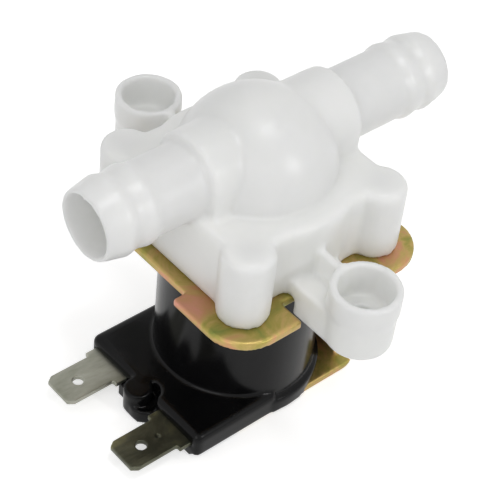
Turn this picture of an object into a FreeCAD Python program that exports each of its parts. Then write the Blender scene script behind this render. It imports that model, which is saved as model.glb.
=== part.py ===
"""A water solenoid valve: hose-barb body, diaphragm and plunger, yoke and moulded coil."""
import FreeCAD, Part
import os

import Sketcher
from FreeCAD import Placement, Rotation, Vector

document = FreeCAD.newDocument("water_solenoid_valve")

# Driving sizes in millimetres. The underside of the yoke is z = 0 and the coil's axis is Z.
SIZES = {
    # Yoke of folded steel sheet
    "sheet_thickness": 1.3,
    "window_height": 26.2,
    "bend_radius": 1.6,
    "yoke_wall_gap": 0.3,
    "yoke_foot_half_width": 12.6,
    "yoke_wall_half_width": 10.0,
    "yoke_foot_reach": 9.5,
    "ear_radius": 6.4,
    "side_notch_depth": 2.3,
    "side_notch_half_width": 6.0,
    "lug_notch_depth": 4.4,
    "lug_notch_half_width": 6.8,
    # Corner posts of the moulded body
    "post_spacing_x": 24.6,
    "post_spacing_y": 26.8,
    "post_radius": 3.85,
    "block_half_length": 14.7,
    "block_half_width": 14.3,
    "chamber_bulge_radius": 15.4,
    "block_height": 11.7,
    "top_rounding": 1.1,
    # Dome, necks and hose barbs
    "dome_radius": 11.9,
    "dome_wall": 2.1,
    "pipe_height": 14.8,
    "inlet_reach": 30.0,
    "outlet_reach": 33.6,
    "pipe_radius": 5.5,
    "ridge_radius": 6.0,
    "tip_radius": 5.2,
    "ridge_setback": 4.2,
    "ridge_spacing": 3.7,
    "ridge_step": 1.2,
    "bore_radius": 4.0,
    "mouth_radius": 4.7,
    "mouth_depth": 5.0,
    "neck_radius": 6.7,
    "inlet_neck_reach": 12.7,
    "outlet_neck_reach": 14.1,
    # Mounting lugs
    "lug_offset_x": 0.6,
    "lug_offset_y": 24.8,
    "lug_radius": 4.9,
    "lug_collar_radius": 5.15,
    "lug_collar_height": 4.0,
    "lug_height": 10.3,
    "lug_rise": 7.4,
    "lug_cup_radius": 4.05,
    "lug_cup_depth": 5.4,
    "arm_half_width": 4.3,
    "lug_hole_radius": 1.6,
    "arm_height": 5.6,
    "rib_thickness": 1.2,
    # Diaphragm and its chambers
    "chamber_radius": 9.4,
    "seat_bore_radius": 2.8,
    "seat_wall": 1.4,
    "seat_drop": 0.5,
    "rim_radius": 10.8,
    "rim_thickness": 1.4,
    "membrane_thickness": 0.8,
    "disc_radius": 5.6,
    "disc_thickness": 1.4,
    "insert_radius": 4.8,
    "insert_thickness": 1.0,
    "stem_radius": 1.9,
    "stem_length": 1.6,
    "nozzle_radius": 1.1,
    "nozzle_length": 0.5,
    "pilot_radius": 0.4,
    # Guide tube, plunger and spring
    "tube_flange_height": 3.0,
    "tube_floor": 0.8,
    "tube_wall": 0.7,
    "tube_end_height": 3.6,
    "plunger_radius": 4.0,
    "plunger_length": 17.5,
    "plunger_pocket_radius": 2.6,
    "plunger_pocket_depth": 7.0,
    "seal_radius": 2.2,
    "seal_thickness": 2.0,
    "spring_radius": 1.95,
    "spring_wire": 0.35,
    "spring_pitch": 2.0,
    # Coil
    "sleeve_wall": 1.1,
    "sleeve_length": 8.2,
    "bobbin_wall": 0.8,
    "bobbin_flange_radius": 10.6,
    "bobbin_flange_thickness": 1.0,
    "winding_radius": 9.9,
    "coil_radius": 12.6,
    "coil_skin": 1.2,
    "coil_foot_radius": 13.5,
    "coil_foot_lift": 0.5,
    "coil_foot_thickness": 2.8,
    "terminal_block_thickness": 4.2,
    "block_reach": 18.0,
    "terminal_block_half_width": 13.1,
    "terminal_block_rounding": 1.2,
    "pad_length": 5.2,
    "tongue_reach": 1.2,
    "tongue_half_width": 4.4,
    "tongue_bulge_radius": 2.7,
    "valley_radius": 2.2,
    # Spade terminals
    "blade_width": 6.3,
    "blade_thickness": 0.8,
    "blade_length": 8.0,
    "blade_chamfer": 1.0,
    "blade_hole_radius": 0.85,
    "blade_hole_setback": 3.8,
    "blade_height": 2.1,
    "blade_root": 5.0,
    "blade_spacing": 15.7,
    "shoulder_width": 7.9,
    "shoulder_length": 2.0,
    # Screws and clearances
    "screw_radius": 1.45,
    "screw_length": 11.0,
    "screw_head_radius": 3.0,
    "screw_head_height": 2.1,
    "screw_slot_width": 0.9,
    "sliding_gap": 0.06,
    "fitting_gap": 0.05,
}

sheet = document.addObject("Spreadsheet::Sheet", "sizes")
for row, (word, number) in enumerate(SIZES.items(), start=1):
    sheet.set(f"A{row}", word)
    sheet.set(f"B{row}", str(number))
    sheet.setAlias(f"B{row}", word)
document.recompute()


class Formula:
    """An expression over the sheet's named cells, with its present value beside it."""

    def __init__(self, text, value):
        self.text = text
        self.value = value

    def __add__(self, other):
        return joined(self, "+", other, self.value + number_of(other))

    def __radd__(self, other):
        return joined(other, "+", self, number_of(other) + self.value)

    def __sub__(self, other):
        return joined(self, "-", other, self.value - number_of(other))

    def __rsub__(self, other):
        return joined(other, "-", self, number_of(other) - self.value)

    def __mul__(self, other):
        return joined(self, "*", other, self.value * number_of(other))

    __rmul__ = __mul__

    def __truediv__(self, other):
        return joined(self, "/", other, self.value / number_of(other))

    def __neg__(self):
        return Formula(f"(0 - {self.text})", -self.value)


def number_of(item):
    return item.value if isinstance(item, Formula) else float(item)


def text_of(item):
    return item.text if isinstance(item, Formula) else f"{float(item):.6f}"


def joined(left, sign, right, value):
    return Formula(f"({text_of(left)} {sign} {text_of(right)})", value)


def size(word):
    return Formula(f"sizes.{word}", SIZES[word])


# Heights and distances that follow from the driving sizes
sheet_thickness = size("sheet_thickness")
plate_under = sheet_thickness + size("window_height")
plate_top = plate_under + sheet_thickness
fitting_gap = size("fitting_gap")
sliding_gap = size("sliding_gap")
post_x = size("post_spacing_x") / 2
post_y = size("post_spacing_y") / 2
block_top = plate_top + size("block_height")
pipe_axis = plate_top + size("pipe_height")
tube_inner = size("plunger_radius") + sliding_gap
tube_outer = tube_inner + size("tube_wall")
sleeve_inner = tube_outer + fitting_gap
sleeve_outer = sleeve_inner + size("sleeve_wall")
coil_bore = sleeve_outer + fitting_gap
flange_top = plate_top + size("tube_flange_height")
chamber_floor = plate_top + size("tube_floor")
rim_top = flange_top + size("rim_thickness")
seat_height = rim_top + size("seat_drop")
disc_bottom = seat_height - size("disc_thickness")
insert_bottom = disc_bottom - size("insert_thickness")
nozzle_bottom = insert_bottom - size("nozzle_length")
seat_outer = size("seat_bore_radius") + size("seat_wall")
plunger_top = nozzle_bottom - fitting_gap
plunger_bottom = plunger_top - size("plunger_length")
pocket_top = plunger_bottom + size("plunger_pocket_depth")
tube_floor_top = size("tube_end_height") + size("tube_wall")
foot_low = size("coil_foot_lift")
foot_top = foot_low + size("coil_foot_thickness")
terminal_top = foot_low + size("terminal_block_thickness")
yoke_wall_inner = size("coil_radius") + size("yoke_wall_gap")
yoke_wall_outer = yoke_wall_inner + sheet_thickness
plate_reach_x = post_x + size("ear_radius")
plate_reach_y = post_y + size("ear_radius")
lug_bottom = plate_top + size("lug_rise") - size("lug_height")
lug_top = lug_bottom + size("lug_height")


def bind(item, **formulas):
    """Sets properties from formulas and keeps them tied to the sheet."""
    for name, formula in formulas.items():
        path = name.replace("__", ".")
        if "." not in path:
            setattr(item, path, number_of(formula))
        item.setExpression(path, text_of(formula))
    return item


def place(item, x=0.0, y=0.0, z=0.0, rotation=None):
    """Puts a solid at a place tied to the sheet, with a fixed rotation."""
    item.Placement = Placement(Vector(number_of(x), number_of(y), number_of(z)), rotation or Rotation())
    bind(item, Placement__Base__x=x, Placement__Base__y=y, Placement__Base__z=z)
    return item


def box(name, x, y, z):
    """A box from one corner to the other, each axis given as its two ends."""
    item = document.addObject("Part::Box", name)
    bind(item, Length=x[1] - x[0], Width=y[1] - y[0], Height=z[1] - z[0])
    return place(item, x[0], y[0], z[0])


def cylinder(name, radius, low, high, x=0.0, y=0.0):
    item = document.addObject("Part::Cylinder", name)
    bind(item, Radius=radius, Height=high - low)
    return place(item, x, y, low)


def along_x(name, radius, low, high, height, far_radius=None):
    """A bar or cone along X at a height, from one X to the other."""
    turn = Rotation(Vector(0, 1, 0), 90)
    if far_radius is None:
        item = bind(document.addObject("Part::Cylinder", name), Radius=radius, Height=high - low)
    else:
        item = document.addObject("Part::Cone", name)
        bind(item, Radius1=radius, Radius2=far_radius, Height=high - low)
    return place(item, low, 0.0, height, turn)


def ball(name, radius, z):
    """A ball on the axis, with its seam turned away from the pipe."""
    item = bind(document.addObject("Part::Sphere", name), Radius=radius)
    return place(item, 0.0, 0.0, z, Rotation(Vector(0, 0, 1), 50))


def fuse(name, pieces):
    item = document.addObject("Part::MultiFuse", name)
    item.Shapes = pieces
    item.Refine = True
    return item


def cut(name, base, tool):
    item = document.addObject("Part::Cut", name)
    item.Base = base
    item.Tool = tool
    item.Refine = True
    return item


def round_edges(name, base, radius, wanted):
    """Rounds the edges of a solid that a test picks out."""
    document.recompute()
    item = document.addObject("Part::Fillet", name)
    item.Base = base
    limit = number_of(radius)
    item.Edges = [(i, limit, limit) for i, edge in enumerate(base.Shape.Edges, start=1) if wanted(edge)]
    return item


def origin_plane(body, role):
    return next(plane for plane in body.Origin.OriginFeatures if plane.Role == role)


def sketch_in(body, name, role, height=0.0):
    """A sketch on one of its body's own origin planes, lifted by a formula."""
    sketch = body.newObject("Sketcher::SketchObject", name)
    sketch.AttachmentSupport = [(origin_plane(body, role), "")]
    sketch.MapMode = "FlatFace"
    if isinstance(height, Formula):
        bind(sketch, AttachmentOffset__Base__z=height)
    return sketch


def polygon(sketch, points):
    """A closed outline whose corners are each tied to the sheet."""
    spots = [Vector(number_of(x), number_of(y), 0) for x, y in points]
    first = sketch.GeometryCount
    for start, end in zip(spots, spots[1:] + spots[:1]):
        sketch.addGeometry(Part.LineSegment(start, end), False)
    count = len(spots)
    for i in range(count):
        link = Sketcher.Constraint("Coincident", first + i, 2, first + (i + 1) % count, 1)
        sketch.addConstraint(link)
    for i, (x, y) in enumerate(points):
        for kind, along in (("DistanceX", x), ("DistanceY", y)):
            rule = Sketcher.Constraint(kind, -1, 1, first + i, 1, number_of(along))
            spot = sketch.addConstraint(rule)
            if isinstance(along, Formula):
                sketch.setExpression(f"Constraints[{spot}]", along.text)


def circle(sketch, x, y, radius):
    """A circle whose centre and radius are tied to the sheet."""
    middle = Vector(number_of(x), number_of(y), 0)
    index = sketch.addGeometry(Part.Circle(middle, Vector(0, 0, 1), number_of(radius)), False)
    rules = (("DistanceX", x), ("DistanceY", y))
    for kind, along in rules:
        spot = sketch.addConstraint(Sketcher.Constraint(kind, -1, 1, index, 3, number_of(along)))
        if isinstance(along, Formula):
            sketch.setExpression(f"Constraints[{spot}]", along.text)
    spot = sketch.addConstraint(Sketcher.Constraint("Radius", index, number_of(radius)))
    sketch.setExpression(f"Constraints[{spot}]", text_of(radius))


def turned(name, profile, x=0.0, y=0.0):
    """A piece turned about Z from its half section, given as radius and height."""
    body = document.addObject("PartDesign::Body", name)
    section = sketch_in(body, f"{name}_section", "XZ_Plane")
    polygon(section, profile)
    turn = body.newObject("PartDesign::Revolution", f"{name}_turn")
    turn.Profile = section
    turn.ReferenceAxis = (section, ["V_Axis"])
    turn.Angle = 360.0
    if isinstance(x, Formula):
        place(body, x, y, 0.0)
    return body


def padded(body, name, sketch, length):
    pad = body.newObject("PartDesign::Pad", name)
    pad.Profile = sketch
    bind(pad, Length=length)
    return pad


def pocketed(body, name, sketch, length):
    """A pocket that cuts upward from its sketch."""
    pocket = body.newObject("PartDesign::Pocket", name)
    pocket.Profile = sketch
    pocket.Reversed = True
    bind(pocket, Length=length)
    return pocket


subparts = []


def finish(item, label):
    """Names a finished piece, which is written to a file of that name."""
    item.Label = label
    subparts.append(item)
    return item


# Moulded body: a block with four corner posts, rounded along the top
def corner_block():
    block = box("block", (-size("block_half_length"), size("block_half_length")),
                (-size("block_half_width"), size("block_half_width")), (plate_top, block_top))
    posts = []
    for side_x in (-1, 1):
        for side_y in (-1, 1):
            name = f"post_{side_x + 1}_{side_y + 1}"
            posts.append(cylinder(name, size("post_radius"), plate_top, block_top,
                                  post_x * side_x, post_y * side_y))
    drum = cylinder("chamber_drum", size("chamber_bulge_radius"), plate_top, block_top)
    length = size("block_half_length")
    wide = size("chamber_bulge_radius") + 1.0
    band = box("chamber_band", (-length, length), (-wide, wide), (plate_top, block_top))
    bulge = document.addObject("Part::Common", "chamber_bulge")
    bulge.Base = drum
    bulge.Tool = band
    whole = fuse("block_with_posts", [block, bulge] + posts)
    top = block_top.value

    def on_top(edge):
        return abs(edge.BoundBox.ZMin - top) < 0.01 and abs(edge.BoundBox.ZMax - top) < 0.01

    return round_edges("block_rounded", whole, size("top_rounding"), on_top)


# A hose barb along X: two ridges, each a long taper to the tip and a short step behind it
def hose_barb(name, reach, side):
    tip, ridge, plain = size("tip_radius"), size("ridge_radius"), size("pipe_radius")
    setback, spacing, step = size("ridge_setback"), size("ridge_spacing"), size("ridge_step")
    body = document.addObject("PartDesign::Body", name)
    section = sketch_in(body, f"{name}_section", "XZ_Plane")
    first = reach - setback
    second = first - spacing
    edge = size("ridge_step") / 3
    outline = [(0.0, 0.0), (reach, 0.0), (reach, tip - edge), (reach - edge, tip), (first, ridge),
               (first - step, plain), (second, ridge), (second - step, plain), (0.0, plain)]
    polygon(section, outline)
    turn = body.newObject("PartDesign::Revolution", f"{name}_turn")
    turn.Profile = section
    turn.ReferenceAxis = (section, ["H_Axis"])
    turn.Angle = 360.0
    spin = Rotation() if side > 0 else Rotation(Vector(0, 0, 1), 180)
    return place(body, 0.0, 0.0, pipe_axis, spin)


# An arched neck from the dome to the block's end: a round top on upright sides
def neck(name, side):
    reach = size("outlet_neck_reach") if side > 0 else size("inlet_neck_reach")
    low, high = (0.0, reach) if side > 0 else (-reach, 0.0)
    arch = along_x(f"{name}_arch", size("neck_radius"), low, high, pipe_axis)
    leg = box(f"{name}_leg", (low, high), (-size("neck_radius"), size("neck_radius")),
              (block_top - size("top_rounding") * 2, pipe_axis))
    return [arch, leg]


# A mounting lug: a cup on an arm, with a thin rib from the block to the cup's rim
def lug(name, side):
    spot_x = size("lug_offset_x") * side
    spot_y = size("lug_offset_y") * side
    shank = cylinder(f"{name}_shank", size("lug_radius"), lug_bottom, lug_top - fitting_gap, spot_x, spot_y)
    rounded = round_edges(f"{name}_shank_rounded", shank, size("top_rounding"),
                          lambda edge: edge.BoundBox.ZMax < lug_bottom.value + 0.01)
    collar = cylinder(f"{name}_collar", size("lug_collar_radius"), lug_top - size("lug_collar_height"),
                      lug_top, spot_x, spot_y)
    half = size("arm_half_width")
    wall = size("block_half_width")
    clear = plate_reach_y - size("lug_notch_depth") + size("ear_radius") / 20
    arm_top = lug_bottom + size("arm_height")
    if side > 0:
        upper_y, lower_y = (wall - 1.0, spot_y), (clear, spot_y)
    else:
        upper_y, lower_y = (spot_y, 1.0 - wall), (spot_y, -clear)
    across = (spot_x - half, spot_x + half)
    upper = box(f"{name}_arm", across, upper_y, (plate_top, arm_top))
    lower = box(f"{name}_arm_foot", across, lower_y, (lug_bottom, plate_top + fitting_gap))
    rib_half = size("rib_thickness") / 2
    rib = box(f"{name}_rib", (spot_x - rib_half, spot_x + rib_half), upper_y,
              (arm_top - fitting_gap, lug_top - 0.3))
    return [rounded, collar, upper, lower, rib]


def lug_cavities(name, side):
    spot_x = size("lug_offset_x") * side
    spot_y = size("lug_offset_y") * side
    cup = cylinder(f"{name}_cup", size("lug_cup_radius"), lug_top - size("lug_cup_depth"), lug_top + 1.0,
                   spot_x, spot_y)
    hole = cylinder(f"{name}_hole", size("lug_hole_radius"), lug_bottom - 1.0, lug_top, spot_x, spot_y)
    return [cup, hole]


def valve_body():
    outside = [corner_block(), ball("dome", size("dome_radius"), block_top - 0.4)]
    outside += [hose_barb("inlet_barb", size("inlet_reach"), -1)]
    outside += [hose_barb("outlet_barb", size("outlet_reach"), 1)]
    outside += neck("inlet_neck", -1) + neck("outlet_neck", 1)
    outside += lug("front_lug", -1) + lug("rear_lug", 1)
    # the dome's lower half and the pipes' undersides stay inside the block
    whole = fuse("body_outside", outside)
    # inner chamber under the dome, round the seat tube
    inner = size("dome_radius") - size("dome_wall")
    chamber = cylinder("chamber", size("chamber_radius"), rim_top - 0.1, block_top)
    ceiling = ball("chamber_ceiling", inner, block_top - 0.4)
    hollow = fuse("chamber_hollow", [chamber, ceiling])
    low_end = box("chamber_trim", (-inner - 1.0, inner + 1.0), (-inner - 1.0, inner + 1.0),
                  (plate_top - inner, rim_top))
    hollow = cut("chamber_room", hollow, low_end)
    seat = cylinder("seat_tube", seat_outer, seat_height, pipe_axis)
    bridge = along_x("outlet_tube", size("bore_radius") + size("seat_wall"), -seat_outer - 0.5,
                     size("block_half_length"), pipe_axis)
    hollow = cut("chamber_round_seat", hollow, fuse("seat_core", [seat, bridge]))
    recess = cylinder("diaphragm_recess", size("rim_radius") + fitting_gap, plate_top - 1.0, rim_top)
    seat_bore = cylinder("seat_bore", size("seat_bore_radius"), seat_height - 1.0, pipe_axis)
    inlet = along_x("inlet_bore", size("bore_radius"), -size("inlet_reach") - 1.0,
                    -size("disc_radius"), pipe_axis)
    outlet = along_x("outlet_bore", size("bore_radius"), -size("seat_bore_radius") - 0.4,
                     size("outlet_reach") + 1.0, pipe_axis)
    depth = size("mouth_depth")
    wide, narrow = size("mouth_radius"), size("bore_radius")
    inlet_mouth = along_x("inlet_mouth", wide, -size("inlet_reach"), depth - size("inlet_reach"),
                          pipe_axis, narrow)
    outlet_mouth = along_x("outlet_mouth", narrow, size("outlet_reach") - depth, size("outlet_reach"),
                           pipe_axis, wide)
    hollows = [hollow, recess, seat_bore, inlet, outlet, inlet_mouth, outlet_mouth]
    pilot_top = plate_top + size("screw_length") - sheet_thickness + 0.6
    for side_x in (-1, 1):
        for side_y in (-1, 1):
            name = f"screw_hole_{side_x + 1}_{side_y + 1}"
            hollows.append(cylinder(name, size("screw_radius") + fitting_gap, plate_top - 1.0, pilot_top,
                                    post_x * side_x, post_y * side_y))
    hollows += lug_cavities("front_lug", -1) + lug_cavities("rear_lug", 1)
    finish(cut("body_moulding", whole, fuse("body_hollows", hollows)), "valve_body")


# Yoke: a foot under the coil, one upright wall and a top plate with four ears
def yoke():
    body = document.addObject("PartDesign::Body", "yoke_body")
    half = size("yoke_wall_half_width")
    profile = sketch_in(body, "yoke_profile", "XZ_Plane")
    foot_end = -size("yoke_foot_reach")
    polygon(profile, [(foot_end, 0.0), (yoke_wall_outer, 0.0), (yoke_wall_outer, plate_top),
                      (foot_end, plate_top), (foot_end, plate_under), (yoke_wall_inner, plate_under),
                      (yoke_wall_inner, sheet_thickness), (foot_end, sheet_thickness)])
    strip = padded(body, "yoke_strip", profile, half * 2)
    strip.SideType = "Symmetric"
    foot_half = size("yoke_foot_half_width")
    foot = sketch_in(body, "foot_outline", "XY_Plane")
    polygon(foot, [(foot_end, -foot_half), (yoke_wall_outer, -foot_half), (yoke_wall_outer, foot_half),
                   (foot_end, foot_half)])
    padded(body, "foot_plate", foot, sheet_thickness)
    plate = sketch_in(body, "plate_outline", "XY_Plane", plate_under)
    side_in = plate_reach_x - size("side_notch_depth")
    lug_in = plate_reach_y - size("lug_notch_depth")
    side_half, lug_half = size("side_notch_half_width"), size("lug_notch_half_width")
    outline = [(side_in, -side_half), (side_in, side_half), (plate_reach_x, side_half),
               (plate_reach_x, plate_reach_y), (lug_half, plate_reach_y), (lug_half, lug_in),
               (-lug_half, lug_in), (-lug_half, plate_reach_y), (-plate_reach_x, plate_reach_y),
               (-plate_reach_x, side_half), (-side_in, side_half), (-side_in, -side_half),
               (-plate_reach_x, -side_half), (-plate_reach_x, -plate_reach_y), (-lug_half, -plate_reach_y),
               (-lug_half, -lug_in), (lug_half, -lug_in), (lug_half, -plate_reach_y),
               (plate_reach_x, -plate_reach_y), (plate_reach_x, -side_half)]
    polygon(plate, outline)
    padded(body, "top_plate", plate, sheet_thickness)
    holes = sketch_in(body, "plate_holes", "XY_Plane", plate_under - 1.0)
    circle(holes, 0.0, 0.0, coil_bore)
    for side_x in (-1, 1):
        for side_y in (-1, 1):
            circle(holes, post_x * side_x, post_y * side_y, size("screw_radius") + size("sliding_gap") * 4)
    pocketed(body, "plate_hole_cut", holes, sheet_thickness + 2.0)
    document.recompute()
    flat = body.Tip

    def upright_at(edge, spot_x, spot_y, low, high):
        box_of = edge.BoundBox
        near = abs(abs(box_of.XMin) - spot_x) < 0.01 and abs(abs(box_of.YMin) - spot_y) < 0.01
        upright = box_of.XLength < 0.01 and box_of.YLength < 0.01
        return near and upright and box_of.ZMin > low - 0.01 and box_of.ZMax < high + 0.01

    rounding = body.newObject("PartDesign::Fillet", "ear_rounding")
    corners = [f"Edge{i}" for i, edge in enumerate(flat.Shape.Edges, start=1)
               if upright_at(edge, plate_reach_x.value, plate_reach_y.value, plate_under.value, plate_top.value)]
    rounding.Base = (flat, corners)
    bind(rounding, Radius=size("ear_radius") - 0.02)
    body.Tip = rounding
    document.recompute()
    # the outer side of both bends and the notches' corners
    bends = body.newObject("PartDesign::Fillet", "bend_rounding")
    foot_edges = [f"Edge{i}" for i, edge in enumerate(rounding.Shape.Edges, start=1)
                  if edge.BoundBox.YLength > half.value * 1.9 and edge.BoundBox.XLength < 0.01
                  and abs(edge.BoundBox.XMax - yoke_wall_outer.value) < 0.01 and edge.BoundBox.ZMax < 0.01]
    bends.Base = (rounding, foot_edges)
    bind(bends, Radius=size("bend_radius"))
    body.Tip = bends
    finish(body, "yoke")


# Guide tube: a thin tube closed at the bottom, with a flange that clamps the diaphragm's rim
def guide_tube():
    end = size("tube_end_height")
    rim = size("rim_radius")
    lip = size("chamber_radius") - size("rim_thickness") / 2
    turned("guide_tube_body", [
        (0.0, end), (tube_outer, end), (tube_outer, plate_top), (rim, plate_top), (rim, flange_top),
        (lip, flange_top), (lip, chamber_floor), (tube_inner, chamber_floor), (tube_inner, tube_floor_top),
        (0.0, tube_floor_top)])
    finish(document.getObject("guide_tube_body"), "guide_tube")


# Diaphragm: a thick rim, a thin rolling membrane and a thick centre disc with a hole for its insert
def diaphragm():
    rim = size("rim_radius")
    inner_rim = size("chamber_radius") - size("rim_thickness") / 2
    thin = size("membrane_thickness")
    hole = size("stem_radius") + fitting_gap
    mid = (disc_bottom + seat_height) / 2
    low = mid - thin / 2
    high = mid + thin / 2
    disc = size("disc_radius")
    body = turned("diaphragm_body", [
        (hole, disc_bottom), (disc, disc_bottom), (disc + 0.4, low), (inner_rim - 0.3, low - 0.2),
        (inner_rim - 0.2, flange_top), (rim, flange_top), (rim, rim_top), (inner_rim, rim_top),
        (inner_rim - 0.2, high - 0.2), (disc + 0.4, high), (disc, seat_height), (hole, seat_height)])
    finish(body, "diaphragm")


# Rigid insert under the disc, with a stem through it and the pilot hole down to a small nozzle
def diaphragm_insert():
    pilot, nozzle = size("pilot_radius"), size("nozzle_radius")
    stem, wide = size("stem_radius"), size("insert_radius")
    stem_top = seat_height + size("stem_length")
    body = turned("insert_body", [
        (pilot, nozzle_bottom), (nozzle, nozzle_bottom), (nozzle + 0.3, insert_bottom), (wide, insert_bottom),
        (wide, disc_bottom), (stem, disc_bottom), (stem, stem_top - 0.4), (stem - 0.4, stem_top),
        (pilot, stem_top)])
    finish(body, "diaphragm_insert")


# Plunger of magnetic steel: a pocket for the spring below and one for the rubber seal above
def plunger():
    radius, pocket = size("plunger_radius"), size("plunger_pocket_radius")
    seal = size("seal_radius") + fitting_gap
    seal_floor = plunger_top - size("seal_thickness")
    chamfer = 0.5
    body = turned("plunger_body", [
        (pocket, plunger_bottom), (radius - chamfer, plunger_bottom), (radius, plunger_bottom + chamfer),
        (radius, plunger_top - chamfer * 2), (radius - chamfer, plunger_top - chamfer),
        (seal, plunger_top - chamfer), (seal, seal_floor), (0.0, seal_floor), (0.0, pocket_top),
        (pocket, pocket_top)])
    finish(body, "plunger")


def plunger_seal():
    radius = size("seal_radius")
    low = plunger_top - size("seal_thickness")
    body = turned("seal_body", [(0.0, low), (radius, low), (radius, plunger_top - 0.3),
                                (radius - 0.3, plunger_top), (0.0, plunger_top)])
    finish(body, "plunger_seal")


# Compression spring from the tube's closed end up into the plunger's pocket
def return_spring():
    wire = size("spring_wire")
    low = tube_floor_top + wire / 2 + fitting_gap
    high = pocket_top - wire / 2 - fitting_gap
    path = document.addObject("Part::Helix", "spring_path")
    bind(path, Radius=size("spring_radius"), Pitch=size("spring_pitch"), Height=high - low)
    place(path, 0.0, 0.0, low)
    section = document.addObject("Part::Circle", "spring_section")
    bind(section, Radius=wire / 2)
    place(section, size("spring_radius"), 0.0, low, Rotation(Vector(1, 0, 0), 90))
    sweep = document.addObject("Part::Sweep", "spring_sweep")
    sweep.Sections = [section]
    document.recompute()
    sweep.Spine = (path, [f"Edge{i + 1}" for i in range(len(path.Shape.Edges))])
    sweep.Solid = True
    sweep.Frenet = True
    finish(sweep, "return_spring")


# Steel sleeves in the coil's bore, which carry the flux from the yoke to the plunger
def flux_sleeve(name, low):
    high = low + size("sleeve_length")
    body = turned(f"{name}_body", [(sleeve_inner, low), (sleeve_outer, low), (sleeve_outer, high),
                                   (sleeve_inner, high)])
    finish(body, name)


bobbin_low = sheet_thickness + size("coil_skin")
bobbin_high = plate_under - size("coil_skin") - fitting_gap


def coil_bobbin():
    wide = size("bobbin_flange_radius")
    thick = size("bobbin_flange_thickness")
    drum = coil_bore + size("bobbin_wall")
    body = turned("bobbin_body", [
        (coil_bore, bobbin_low), (wide, bobbin_low), (wide, bobbin_low + thick), (drum, bobbin_low + thick),
        (drum, bobbin_high - thick), (wide, bobbin_high - thick), (wide, bobbin_high),
        (coil_bore, bobbin_high)])
    finish(body, "coil_bobbin")


def coil_winding():
    thick = size("bobbin_flange_thickness")
    drum = coil_bore + size("bobbin_wall") + fitting_gap
    low, high = bobbin_low + thick + fitting_gap, bobbin_high - thick - fitting_gap
    radius = size("winding_radius")
    body = turned("winding_body", [(drum, low), (radius, low), (radius, high), (drum, high)])
    finish(body, "coil_winding")


# Moulded coil: an upright drum on a round-ended foot that carries the terminal block
def coil_housing():
    reach, half = size("block_reach"), size("terminal_block_half_width")
    rounding = size("terminal_block_rounding")
    drum = cylinder("coil_drum", size("coil_radius"), sheet_thickness, plate_under - fitting_gap)
    drum = round_edges("coil_drum_rounded", drum, rounding / 2,
                       lambda edge: edge.BoundBox.ZMin > plate_under.value - 0.5)
    foot = cylinder("coil_foot", size("coil_foot_radius"), foot_low, foot_top)
    foot = round_edges("coil_foot_rounded", foot, rounding / 2,
                       lambda edge: edge.BoundBox.ZMin > foot_top.value - 0.1)
    block = box("terminal_block", (-reach, -half / 5), (-half, half), (foot_low, terminal_top))
    block = round_edges("terminal_block_rounded", block, rounding,
                        lambda edge: is_block_edge(edge, reach.value, half.value, terminal_top.value))
    pad = box("terminal_pad", (-reach, size("pad_length") - reach), (-half + rounding, half - rounding),
              (0.0, foot_low + 1.0))
    tongue_half = size("tongue_half_width")
    tongue_top = size("blade_height") + size("blade_thickness") / 2
    tongue = box("terminal_tongue", (-reach - size("tongue_reach"), -reach + 1.0),
                 (-tongue_half, tongue_half), (0.0, tongue_top))
    bulge = cylinder("tongue_bulge", size("tongue_bulge_radius"), 0.0, tongue_top, -reach, -tongue_half / 5)
    whole = fuse("coil_outside", [drum, foot, block, pad, tongue, bulge])
    room = cylinder("coil_room", size("bobbin_flange_radius") + fitting_gap, bobbin_low, bobbin_high)
    bore = cylinder("coil_through", coil_bore, -1.0, plate_top)
    valley = cylinder("terminal_valley", size("valley_radius"), size("blade_height"), terminal_top + 1.0,
                      -reach, -tongue_half / 5)
    # the yoke's foot lies in a recess in the underside
    far = size("coil_foot_radius") * 2
    wide = size("yoke_foot_half_width") + fitting_gap
    recess = box("yoke_recess", (-size("yoke_foot_reach") - fitting_gap, far), (-wide, wide),
                 (-1.0, sheet_thickness))
    beside = size("yoke_wall_half_width") + size("yoke_wall_gap")
    wall_room = box("yoke_wall_room", (yoke_wall_inner - fitting_gap, far), (-beside, beside),
                    (-1.0, plate_top))
    hollows = [room, bore, valley, recess, wall_room]
    for name, side in (("front", -1), ("rear", 1)):
        middle = size("blade_spacing") / 2 * side
        across = size("shoulder_width") / 2 + fitting_gap
        thick = size("blade_thickness")
        low = size("blade_height")
        hollows.append(box(f"{name}_slot", (-reach - far, size("blade_root") - reach + fitting_gap),
                           (middle - across, middle + across),
                           (low - fitting_gap, low + thick + fitting_gap)))
    finish(cut("coil_moulding", whole, fuse("coil_hollows", hollows)), "coil_housing")


def is_block_edge(edge, reach, half, top):
    """The end's top edge, the long top edges and the two upright corners of the terminal block."""
    limits = edge.BoundBox
    at_end = limits.XMax < -reach + 0.01
    at_top = limits.ZMin > top - 0.01
    at_side = abs(abs(limits.YMin) - half) < 0.01 and limits.YLength < 0.01
    upright = limits.ZLength > 0.1
    return (at_end and at_top) or (at_side and at_top) or (at_side and at_end and upright)


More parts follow.
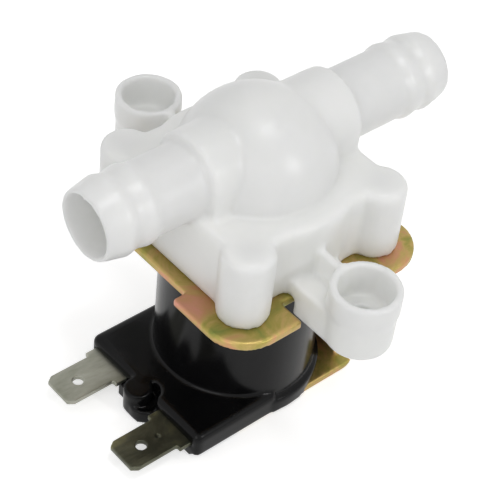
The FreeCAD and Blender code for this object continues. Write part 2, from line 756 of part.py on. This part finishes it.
# Spade terminal: a chamfered blade with a hole, shoulders at its root and a tail in the block
def terminal(name, side):
    body = document.addObject("PartDesign::Body", f"{name}_body")
    middle = size("blade_spacing") / 2 * side
    half, wide = size("blade_width") / 2, size("shoulder_width") / 2
    root = size("blade_root") - size("block_reach")
    shoulder = -size("block_reach") - size("shoulder_length")
    tip = shoulder - size("blade_length")
    chamfer = size("blade_chamfer")
    outline = sketch_in(body, f"{name}_outline", "XY_Plane", size("blade_height"))
    polygon(outline, [
        (root, middle - wide), (root, middle + wide), (shoulder, middle + wide), (shoulder, middle + half),
        (tip + chamfer, middle + half), (tip, middle + half - chamfer * 0.7),
        (tip, middle - half + chamfer * 0.7), (tip + chamfer, middle - half), (shoulder, middle - half),
        (shoulder, middle - wide)])
    padded(body, f"{name}_sheet", outline, size("blade_thickness"))
    hole = sketch_in(body, f"{name}_hole", "XY_Plane", size("blade_height") - 1.0)
    circle(hole, tip + size("blade_hole_setback"), middle, size("blade_hole_radius"))
    pocketed(body, f"{name}_hole_cut", hole, size("blade_thickness") + 2.0)
    finish(body, name)


# Screws from below: a pan head under the plate and a shank up into the post
def plate_screw(name, side_x, side_y):
    radius, head = size("screw_radius"), size("screw_head_radius")
    head_low = plate_under - size("screw_head_height")
    top = plate_under + size("screw_length")
    slot = size("screw_slot_width") / 2
    body = turned(f"{name}_turned", [
        (0.0, head_low), (head - 0.8, head_low), (head, head_low + 0.9), (head, plate_under),
        (radius, plate_under), (radius, top - 1.2), (0.5, top), (0.0, top)])
    long = (-head * 0.6, head * 0.6)
    deep = (head_low - 1.0, head_low + 1.1)
    slots = [box(f"{name}_slot_x", long, (-slot, slot), deep),
             box(f"{name}_slot_y", (-slot, slot), long, deep)]
    screw = cut(f"{name}_cut", body, fuse(f"{name}_slots", slots))
    place(screw, post_x * side_x, post_y * side_y, 0.0)
    finish(screw, name)


valve_body()
yoke()
guide_tube()
diaphragm()
diaphragm_insert()
plunger()
plunger_seal()
return_spring()
flux_sleeve("upper_flux_sleeve", plate_top - size("sleeve_length") - fitting_gap)
flux_sleeve("lower_flux_sleeve", sheet_thickness)
coil_bobbin()
coil_winding()
coil_housing()
terminal("terminal_front", -1)
terminal("terminal_rear", 1)
for side_x, along in ((-1, "inlet"), (1, "outlet")):
    for side_y, across in ((-1, "front"), (1, "rear")):
        plate_screw(f"screw_{along}_{across}", side_x, side_y)

document.recompute()
for item in document.Objects:
    if "Invalid" in item.State or "Error" in item.State:
        raise RuntimeError(f"{item.Name} failed: {item.State}")
for item in subparts:
    if item.Shape.isNull() or not item.Shape.isValid():
        raise RuntimeError(f"{item.Label} has no valid shape")

os.makedirs("parts", exist_ok=True)
for item in subparts:
    item.Shape.exportStep(f"parts/{item.Label}.step")
    print(f"{item.Label}: {len(item.Shape.Solids)} solid, {item.Shape.Volume:.1f} mm3")
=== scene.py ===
import math
import bmesh
import bpy
from mathutils import Matrix, Vector


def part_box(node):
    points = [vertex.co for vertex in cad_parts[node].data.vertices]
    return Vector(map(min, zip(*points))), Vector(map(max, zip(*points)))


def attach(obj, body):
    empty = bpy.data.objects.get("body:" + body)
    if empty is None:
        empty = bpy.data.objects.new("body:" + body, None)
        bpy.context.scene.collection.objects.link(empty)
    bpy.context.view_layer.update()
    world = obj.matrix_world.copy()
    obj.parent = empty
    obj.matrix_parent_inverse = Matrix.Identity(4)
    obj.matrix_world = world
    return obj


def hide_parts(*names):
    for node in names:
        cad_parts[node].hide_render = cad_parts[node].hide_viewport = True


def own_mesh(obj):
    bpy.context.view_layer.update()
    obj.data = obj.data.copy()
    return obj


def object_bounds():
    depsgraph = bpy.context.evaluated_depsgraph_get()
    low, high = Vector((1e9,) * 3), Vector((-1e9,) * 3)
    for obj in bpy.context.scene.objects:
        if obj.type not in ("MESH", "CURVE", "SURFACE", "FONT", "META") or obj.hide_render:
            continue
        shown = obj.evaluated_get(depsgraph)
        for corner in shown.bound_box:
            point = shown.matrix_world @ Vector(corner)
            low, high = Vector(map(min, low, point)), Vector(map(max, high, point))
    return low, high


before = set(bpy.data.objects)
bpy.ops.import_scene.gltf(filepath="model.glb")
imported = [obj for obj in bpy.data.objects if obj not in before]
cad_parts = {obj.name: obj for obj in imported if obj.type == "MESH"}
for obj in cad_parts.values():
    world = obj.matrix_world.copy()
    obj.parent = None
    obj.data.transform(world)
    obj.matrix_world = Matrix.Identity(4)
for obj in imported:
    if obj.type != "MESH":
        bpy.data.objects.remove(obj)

cad_box = [list(corner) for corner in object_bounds()]

# Camera: the valve is seen from above its inlet end and its terminals, turned a little on its side,
# through a long lens close to it, so the near pipe looks larger than the far one.
MM = 0.001
PICTURE_PIXELS = 500.0
LENS_PIXELS = 1606.646
SHIFT_X_PIXELS, SHIFT_Y_PIXELS = 1.567, 5.221
DISTANCE = 234.114 * MM
AZIMUTH, ELEVATION, ROLL = (math.radians(turn) for turn in (-45.190, 43.390, 7.016))
LOOK_AT = Vector((0.0, 0.0, 29.62)) * MM
ASIDE, ABOVE = -0.076 * MM, 5.437 * MM

backward = Vector((math.sin(AZIMUTH) * math.cos(ELEVATION), -math.cos(AZIMUTH) * math.cos(ELEVATION),
                   math.sin(ELEVATION)))
level = Vector((math.cos(AZIMUTH), math.sin(AZIMUTH), 0.0))
upward = backward.cross(level)
across = math.cos(ROLL) * level + math.sin(ROLL) * upward
over = math.cos(ROLL) * upward - math.sin(ROLL) * level
lens = bpy.data.cameras.new("camera")
lens.sensor_width = 36.0
lens.sensor_fit = "HORIZONTAL"
lens.lens = lens.sensor_width * LENS_PIXELS / PICTURE_PIXELS
lens.shift_x = SHIFT_X_PIXELS / PICTURE_PIXELS
lens.shift_y = SHIFT_Y_PIXELS / PICTURE_PIXELS
camera = bpy.data.objects.new("camera", lens)
turned = Matrix((across, over, backward)).transposed().to_4x4()
turned.translation = LOOK_AT + DISTANCE * backward - ASIDE * across - ABOVE * over
camera.matrix_world = turned
bpy.context.scene.collection.objects.link(camera)
bpy.context.scene.camera = camera
bpy.context.scene.view_settings.view_transform = "Standard"


# Moulded body: one injection moulding in natural white polypropylene. It is slightly translucent, so
# light softens its creases, and the tool's polish leaves a low gloss. Every edge and corner of the
# moulding has a small round, which the piece gets by smoothing a close mesh of the CAD solid.

# The linear light of a screen colour, by the sRGB curve
def linear(code):
    values = [int(code[i:i + 2], 16) / 255 for i in (1, 3, 5)]
    return tuple(v / 12.92 if v <= 0.04045 else ((v + 0.055) / 1.055) ** 2.4 for v in values) + (1.0,)


# A shader node with its values, links and settings. The first two stops of a colour ramp are its ends.
def add(tree, kind, values=None, links=None, stops=(), **settings):
    item = tree.nodes.new(kind)
    for name, value in settings.items():
        setattr(item, name, value)
    for name, value in (values or {}).items():
        item.inputs[name].default_value = value
    for name, source in (links or {}).items():
        tree.links.new(source, item.inputs[name])
    for i, (spot, code) in enumerate(stops):
        marks = item.color_ramp.elements
        mark = marks[i] if i < 2 else marks.new(spot)
        mark.position = spot
        mark.color = linear(code)
    return item


# A material from its base settings and the colours that it drifts through. The patches of colour, the
# grain of the gloss and the depth of that grain are in mm, and rough is the range of roughness.
def surface(name, base, colours, patch, rough, grain, depth, stretch=(1.0, 1.0, 1.0), warp=0.3,
            start=(0.0, 0.0, 0.0)):
    made = bpy.data.materials.new(name)
    made.use_nodes = True
    tree = made.node_tree
    tree.nodes.clear()
    spot = add(tree, "ShaderNodeTexCoord").outputs["Object"]
    laid = add(tree, "ShaderNodeMapping", {"Scale": stretch, "Location": Vector(start) * MM},
               {"Vector": spot}).outputs["Vector"]
    cloud = add(tree, "ShaderNodeTexNoise",
                {"Scale": 1000 / patch, "Detail": 8.0, "Roughness": 0.6, "Distortion": warp},
                {"Vector": laid}).outputs["Fac"]
    tint = add(tree, "ShaderNodeValToRGB", {}, {"Fac": cloud}, colours).outputs["Color"]
    fine = add(tree, "ShaderNodeTexNoise", {"Scale": 1000 / grain, "Detail": 3.0},
               {"Vector": laid}).outputs["Fac"]
    sheen = add(tree, "ShaderNodeMapRange", {"To Min": rough[0], "To Max": rough[1]}, {"Value": fine})
    relief = add(tree, "ShaderNodeBump", {"Strength": 1.0, "Distance": depth * MM}, {"Height": fine})
    shader = add(tree, "ShaderNodeBsdfPrincipled", base, {
        "Base Color": tint, "Roughness": sheen.outputs["Result"], "Normal": relief.outputs["Normal"]})
    add(tree, "ShaderNodeOutputMaterial", {}, {"Surface": shader.outputs["BSDF"]})
    return made


WELD = 0.002 * MM


# A close copy of a CAD solid whose edges are rounded: a mesh of small cells, in mm, smoothed in some
# passes. A lump is joined to it first, so that the smoothing melts it in.
def rounded_copy(name, solid, cell, passes, lump=None):
    piece = bpy.data.objects.new(name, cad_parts[solid].data.copy())
    bpy.context.scene.collection.objects.link(piece)
    shell = bmesh.new()
    shell.from_mesh(piece.data)
    bmesh.ops.remove_doubles(shell, verts=shell.verts, dist=WELD)
    shell.to_mesh(piece.data)
    shell.free()
    if lump:
        join = piece.modifiers.new("join", "BOOLEAN")
        join.operation = "UNION"
        join.solver = "EXACT"
        join.object = lump
    cells = piece.modifiers.new("cells", "REMESH")
    cells.mode = "VOXEL"
    cells.voxel_size = cell * MM
    cells.use_smooth_shade = True
    ease = piece.modifiers.new("ease", "SMOOTH")
    ease.factor = 0.5
    ease.iterations = passes
    settled = piece.evaluated_get(bpy.context.evaluated_depsgraph_get())
    piece.data = bpy.data.meshes.new_from_object(settled)
    piece.modifiers.clear()
    if lump:
        bpy.data.objects.remove(lump)
    return piece


def dress(piece, material):
    piece.data.materials.clear()
    piece.data.materials.append(material)


# natural polypropylene: milky, faint flow marks, a fine bloom in the gloss
POLYPROPYLENE = surface(
    "polypropylene_natural",
    {"IOR": 1.49, "Subsurface Weight": 0.8, "Subsurface Radius": (1.0, 1.0, 0.95),
     "Subsurface Scale": 3.5 * MM},
    [(0.30, "#EBECEA"), (0.70, "#F1F1EF")],
    patch=14.0, rough=(0.28, 0.38), grain=0.9, depth=0.006, warp=1.0)

body = rounded_copy("body_moulding", "valve_body", cell=0.4, passes=7)
dress(body, POLYPROPYLENE)
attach(body, "valve")
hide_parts("valve_body")


# Yoke: one strip of steel, stamped and folded, zinc plated and yellow chromated. The thin chromate
# film shows gold with drifts of green and pink, placed so that the front ear has a pink corner.
CHROMATED_ZINC = surface(
    "zinc_yellow_chromate", {"Metallic": 0.85},
    [(0.30, "#7E8844"), (0.70, "#CB8C7E"), (0.43, "#A39550"), (0.50, "#B79E62"), (0.58, "#BF9168")],
    patch=6.0, rough=(0.32, 0.50), grain=0.5, depth=0.008, warp=0.6, start=(37.0, 0.0, 18.0))

yoke = rounded_copy("folded_yoke", "yoke", cell=0.26, passes=3)
dress(yoke, CHROMATED_ZINC)
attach(yoke, "valve")
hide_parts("yoke")


# Coil housing: a hard plastic moulded over the wound bobbin, black and glossy. The moulding has soft
# corners and very slightly wavy faces. Between the tabs it swells into an upright boss, with a groove
# left between the boss and the front tab.

# An upright cylinder from its centre, radius, foot and top in mm, to be melted into a piece
def upright_lump(x, y, radius, foot, top):
    lump = bpy.data.objects.new("lump", bpy.data.meshes.new("lump"))
    bpy.context.scene.collection.objects.link(lump)
    middle = Vector((x, y, (foot + top) / 2)) * MM
    drum = bmesh.new()
    bmesh.ops.create_cone(drum, cap_ends=True, segments=32, radius1=radius * MM, radius2=radius * MM,
                          depth=(top - foot) * MM, matrix=Matrix.Translation(middle))
    drum.to_mesh(lump.data)
    drum.free()
    return lump


BLACK_POLYESTER = surface(
    "polyester_black", {"IOR": 1.5, "Specular IOR Level": 0.15},
    [(0.35, "#080809"), (0.70, "#101011")],
    patch=6.0, rough=(0.14, 0.26), grain=2.2, depth=0.006, warp=0.6)

boss = upright_lump(x=-18.5, y=0.4, radius=2.2, foot=0.1, top=4.5)
coil = rounded_copy("coil_overmould", "coil_housing", cell=0.3, passes=3, lump=boss)
dress(coil, BLACK_POLYESTER)
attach(coil, "valve")
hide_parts("coil_housing")


# Terminals: two 6.3 mm tabs of tinned steel, blanked from 0.8 mm strip, with a locking hole. The tin is
# dull, brushed along the strip, with a warm stain. The front tab's upper face has a small dimple too.
TINNED_STEEL = surface(
    "tinned_steel", {"Metallic": 0.85},
    [(0.30, "#777868"), (0.72, "#B9B9AE"), (0.45, "#949589"), (0.55, "#A3A398")],
    patch=5.0, rough=(0.30, 0.48), grain=0.35, depth=0.005, stretch=(0.3, 1.0, 1.0))

# the front tab gets a darker, more olive copy of the same tin, in drifts along its length: painted shade
# standing for the dark parts that this tab mirrors
TIN_PAINTED_DARK_REFLECTION = surface(
    "tinned_steel_painted_reflection", {"Metallic": 0.85},
    [(0.32, "#44453A"), (0.72, "#99946A"), (0.46, "#5E5F50"), (0.58, "#7C7A5C")],
    patch=5.0, rough=(0.28, 0.44), grain=0.35, depth=0.005, stretch=(0.6, 1.0, 1.0))

DIMPLE_RADIUS, DIMPLE_DEPTH, DIMPLE_FROM_TIP = 0.45 * MM, 0.12 * MM, 6.9 * MM


# A round hollow in a tab's upper face, deepest in its middle
def press_dimple(tab, x, y):
    blade = bmesh.new()
    blade.from_mesh(tab.data)
    for vertex in blade.verts:
        away = math.hypot(vertex.co.x - x, vertex.co.y - y) / DIMPLE_RADIUS
        faces_up = vertex.normal.z > 0.5
        if away < 1.0 and faces_up:
            vertex.co.z -= DIMPLE_DEPTH * (1.0 - away * away)
    blade.to_mesh(tab.data)
    blade.free()


# the front tab takes the darker tin, whose colour is a painted dark reflection; the rear tab takes the plain
# tin
for side, finish in (("front", TIN_PAINTED_DARK_REFLECTION), ("rear", TINNED_STEEL)):
    tab = rounded_copy(f"tab_{side}", f"terminal_{side}", cell=0.13, passes=2)
    if side == "front":
        low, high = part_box("terminal_front")
        press_dimple(tab, low.x + DIMPLE_FROM_TIP, (low.y + high.y) / 2)
    dress(tab, finish)
    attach(tab, "valve")
    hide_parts(f"terminal_{side}")


# Diaphragm: a thick moulded disc, a thin web and a bead that the body clamps on the guide tube. It is
# nitrile rubber, matt black with a grey bloom, and its edges come soft from the mould.
RUBBER = surface(
    "nitrile_rubber", {"IOR": 1.5},
    [(0.35, "#1B1B1C"), (0.70, "#2A2A2B")],
    patch=4.0, rough=(0.62, 0.80), grain=0.4, depth=0.015)

web = rounded_copy("rubber_diaphragm", "diaphragm", cell=0.2, passes=2)
dress(web, RUBBER)
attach(web, "valve")
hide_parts("diaphragm")


# Guide tube and plunger: the tube is deep drawn from stainless sheet and the plunger is turned from
# magnetic stainless bar, with a rubber plug in its top that closes the pilot hole.

# A material for a CAD solid that is shown as it is
def finish_solid(name, material):
    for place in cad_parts[name].material_slots:
        place.link = "OBJECT"
        place.material = material


# drawn stainless steel: bright, with fine marks round the tube
DRAWN_STAINLESS = surface(
    "stainless_drawn", {"Metallic": 1.0},
    [(0.35, "#B9BABB"), (0.70, "#CFCFCE")],
    patch=5.0, rough=(0.18, 0.30), grain=0.25, depth=0.003, stretch=(1.0, 1.0, 3.0))

# magnetic stainless steel: turned, a little darker, with tool marks across it
TURNED_STEEL = surface(
    "magnetic_steel_turned", {"Metallic": 1.0},
    [(0.35, "#9C9D9E"), (0.70, "#B4B4B3")],
    patch=4.0, rough=(0.28, 0.40), grain=0.3, depth=0.006, stretch=(0.4, 0.4, 4.0))

finish_solid("guide_tube", DRAWN_STAINLESS)
finish_solid("plunger", TURNED_STEEL)
finish_solid("plunger_seal", RUBBER)


# Return spring: stainless wire, open in its middle turns and closed at both ends. It stands on the
# tube's floor. All its sizes are in mm.
WIRE_RADIUS, WINDING_RADIUS, STROKE = 0.175, 1.95, 2.5
END_TURNS, END_PITCH, OPEN_TURNS = 1.25, 0.37, 7.0
WIRE_SIDES, STEPS_A_TURN = 12, 24

foot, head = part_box("return_spring")
tall = (head.z - foot.z) / MM - 2 * WIRE_RADIUS
open_pitch = (tall - 2 * END_TURNS * END_PITCH) / OPEN_TURNS
wire = bmesh.new()
start_point = Matrix.Translation((WINDING_RADIUS * MM, 0.0, foot.z + WIRE_RADIUS * MM))
upright = Matrix.Rotation(math.pi / 2, 4, "X")
bmesh.ops.create_circle(wire, cap_ends=True, radius=WIRE_RADIUS * MM, segments=WIRE_SIDES,
                        matrix=start_point @ upright)
tip = wire.edges[:]
for turns, pitch in ((END_TURNS, END_PITCH), (OPEN_TURNS, open_pitch), (END_TURNS, END_PITCH)):
    steps = round(turns * STEPS_A_TURN)
    swept = bmesh.ops.spin(wire, geom=tip, cent=(0.0, 0.0, 0.0), axis=(0.0, 0.0, 1.0), steps=steps,
                           angle=turns * 2 * math.pi, dvec=(0.0, 0.0, pitch * MM / STEPS_A_TURN))
    tip = [item for item in swept["geom_last"] if isinstance(item, bmesh.types.BMEdge)]
bmesh.ops.edgeloop_fill(wire, edges=tip)
bmesh.ops.recalc_face_normals(wire, faces=wire.faces)
for face in wire.faces:
    face.smooth = True
coils = bpy.data.meshes.new("wound_spring")
wire.to_mesh(coils)
wire.free()
spring = bpy.data.objects.new("wound_spring", coils)
bpy.context.scene.collection.objects.link(spring)
dress(spring, DRAWN_STAINLESS)
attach(spring, "valve")
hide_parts("return_spring")
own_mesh(spring)


# Coil inside the housing: enamelled copper wire on a nylon bobbin, with two plated steel sleeves in its
# bore that lead the field to the plunger.

# nylon: cream, slightly glossy
NYLON = surface(
    "nylon_natural", {"IOR": 1.53, "Subsurface Weight": 0.2, "Subsurface Scale": 0.8 * MM},
    [(0.35, "#E4DECB"), (0.70, "#EFEADB")],
    patch=8.0, rough=(0.34, 0.46), grain=0.8, depth=0.010)

# enamelled copper: ridges round the winding, coarser than real turns so that they show
COPPER_WIRE = surface(
    "copper_enamelled", {"Metallic": 1.0},
    [(0.35, "#A4532B"), (0.70, "#C4703E")],
    patch=3.0, rough=(0.24, 0.36), grain=0.3, depth=0.060, stretch=(0.02, 0.02, 1.0))

finish_solid("coil_bobbin", NYLON)
finish_solid("diaphragm_insert", NYLON)
finish_solid("coil_winding", COPPER_WIRE)
for name in ("upper_flux_sleeve", "lower_flux_sleeve"):
    finish_solid(name, CHROMATED_ZINC)


# Plate screws: four thread-forming steel screws, bright zinc plated, driven up into the posts from
# under the plate.
ZINC_SCREW = surface(
    "zinc_bright", {"Metallic": 1.0},
    [(0.35, "#B3B6B8"), (0.70, "#C9CBCC")],
    patch=3.0, rough=(0.22, 0.36), grain=0.3, depth=0.006)

for end in ("inlet", "outlet"):
    for side in ("front", "rear"):
        finish_solid(f"screw_{end}_{side}", ZINC_SCREW)


# Studio: a plain pale floor that shows white to the eye and in the metal, a soft sky and three lamps.

# The strength of a light that gives off more where it is looked at or mirrored than where it only lights
def shown_white(tree, dim, bright):
    path = add(tree, "ShaderNodeLightPath").outputs
    seen = add(tree, "ShaderNodeMath", {}, {0: path["Is Camera Ray"], 1: path["Is Glossy Ray"]},
               operation="MAXIMUM")
    seen = add(tree, "ShaderNodeMath", {}, {0: seen.outputs[0], 1: path["Is Transmission Ray"]},
               operation="MAXIMUM")
    strength = add(tree, "ShaderNodeMapRange", {"To Min": dim, "To Max": bright}, {"Value": seen.outputs[0]})
    return strength.outputs[0]


sky = bpy.data.worlds.new("studio_sky")
bpy.context.scene.world = sky
sky.use_nodes = True
sky.node_tree.nodes.clear()
glow = add(sky.node_tree, "ShaderNodeBackground", {"Color": linear("#FFFFFF")},
           {"Strength": shown_white(sky.node_tree, dim=0.48, bright=1.0)})
add(sky.node_tree, "ShaderNodeOutputWorld", {}, {"Surface": glow.outputs["Background"]})

FLOOR_DROP = 0.05 * MM
FLOOR_HALF = 1500.0 * MM
bench = bmesh.new()
bmesh.ops.create_grid(bench, x_segments=1, y_segments=1, size=FLOOR_HALF)
bmesh.ops.translate(bench, verts=bench.verts, vec=(0.0, 0.0, cad_box[0][2] - FLOOR_DROP))
sheet = bpy.data.meshes.new("floor")
bench.to_mesh(sheet)
bench.free()
floor = bpy.data.objects.new("floor", sheet)
bpy.context.scene.collection.objects.link(floor)
paper = bpy.data.materials.new("floor_paper")
paper.use_nodes = True
paper.node_tree.nodes.clear()
diffuse = add(paper.node_tree, "ShaderNodeBsdfDiffuse", {"Color": linear("#F2F2F2")})
shine = add(paper.node_tree, "ShaderNodeEmission", {},
            {"Strength": shown_white(paper.node_tree, dim=0.0, bright=0.55)})
both = add(paper.node_tree, "ShaderNodeAddShader", {},
           {0: diffuse.outputs["BSDF"], 1: shine.outputs["Emission"]})
add(paper.node_tree, "ShaderNodeOutputMaterial", {}, {"Surface": both.outputs["Shader"]})
floor.data.materials.append(paper)


# A round lamp that looks at the valve, from its direction, its distance and width in mm, and its watts
def lamp(name, towards, far, width, power):
    light = bpy.data.lights.new(name, "AREA")
    light.shape = "DISK"
    light.size = width * MM
    light.energy = power
    item = bpy.data.objects.new(name, light)
    item.location = LOOK_AT + Vector(towards).normalized() * far * MM
    item.rotation_mode = "QUATERNION"
    item.rotation_quaternion = Vector(towards).to_track_quat("Z", "Y")
    bpy.context.scene.collection.objects.link(item)


lamp("key", (0.27, -0.86, 0.43), far=600.0, width=60.0, power=0.5)
lamp("overhead", (0.10, -0.15, 0.98), far=700.0, width=220.0, power=0.9)
lamp("fill", (-0.9, -0.35, 0.55), far=800.0, width=500.0, power=1.1)
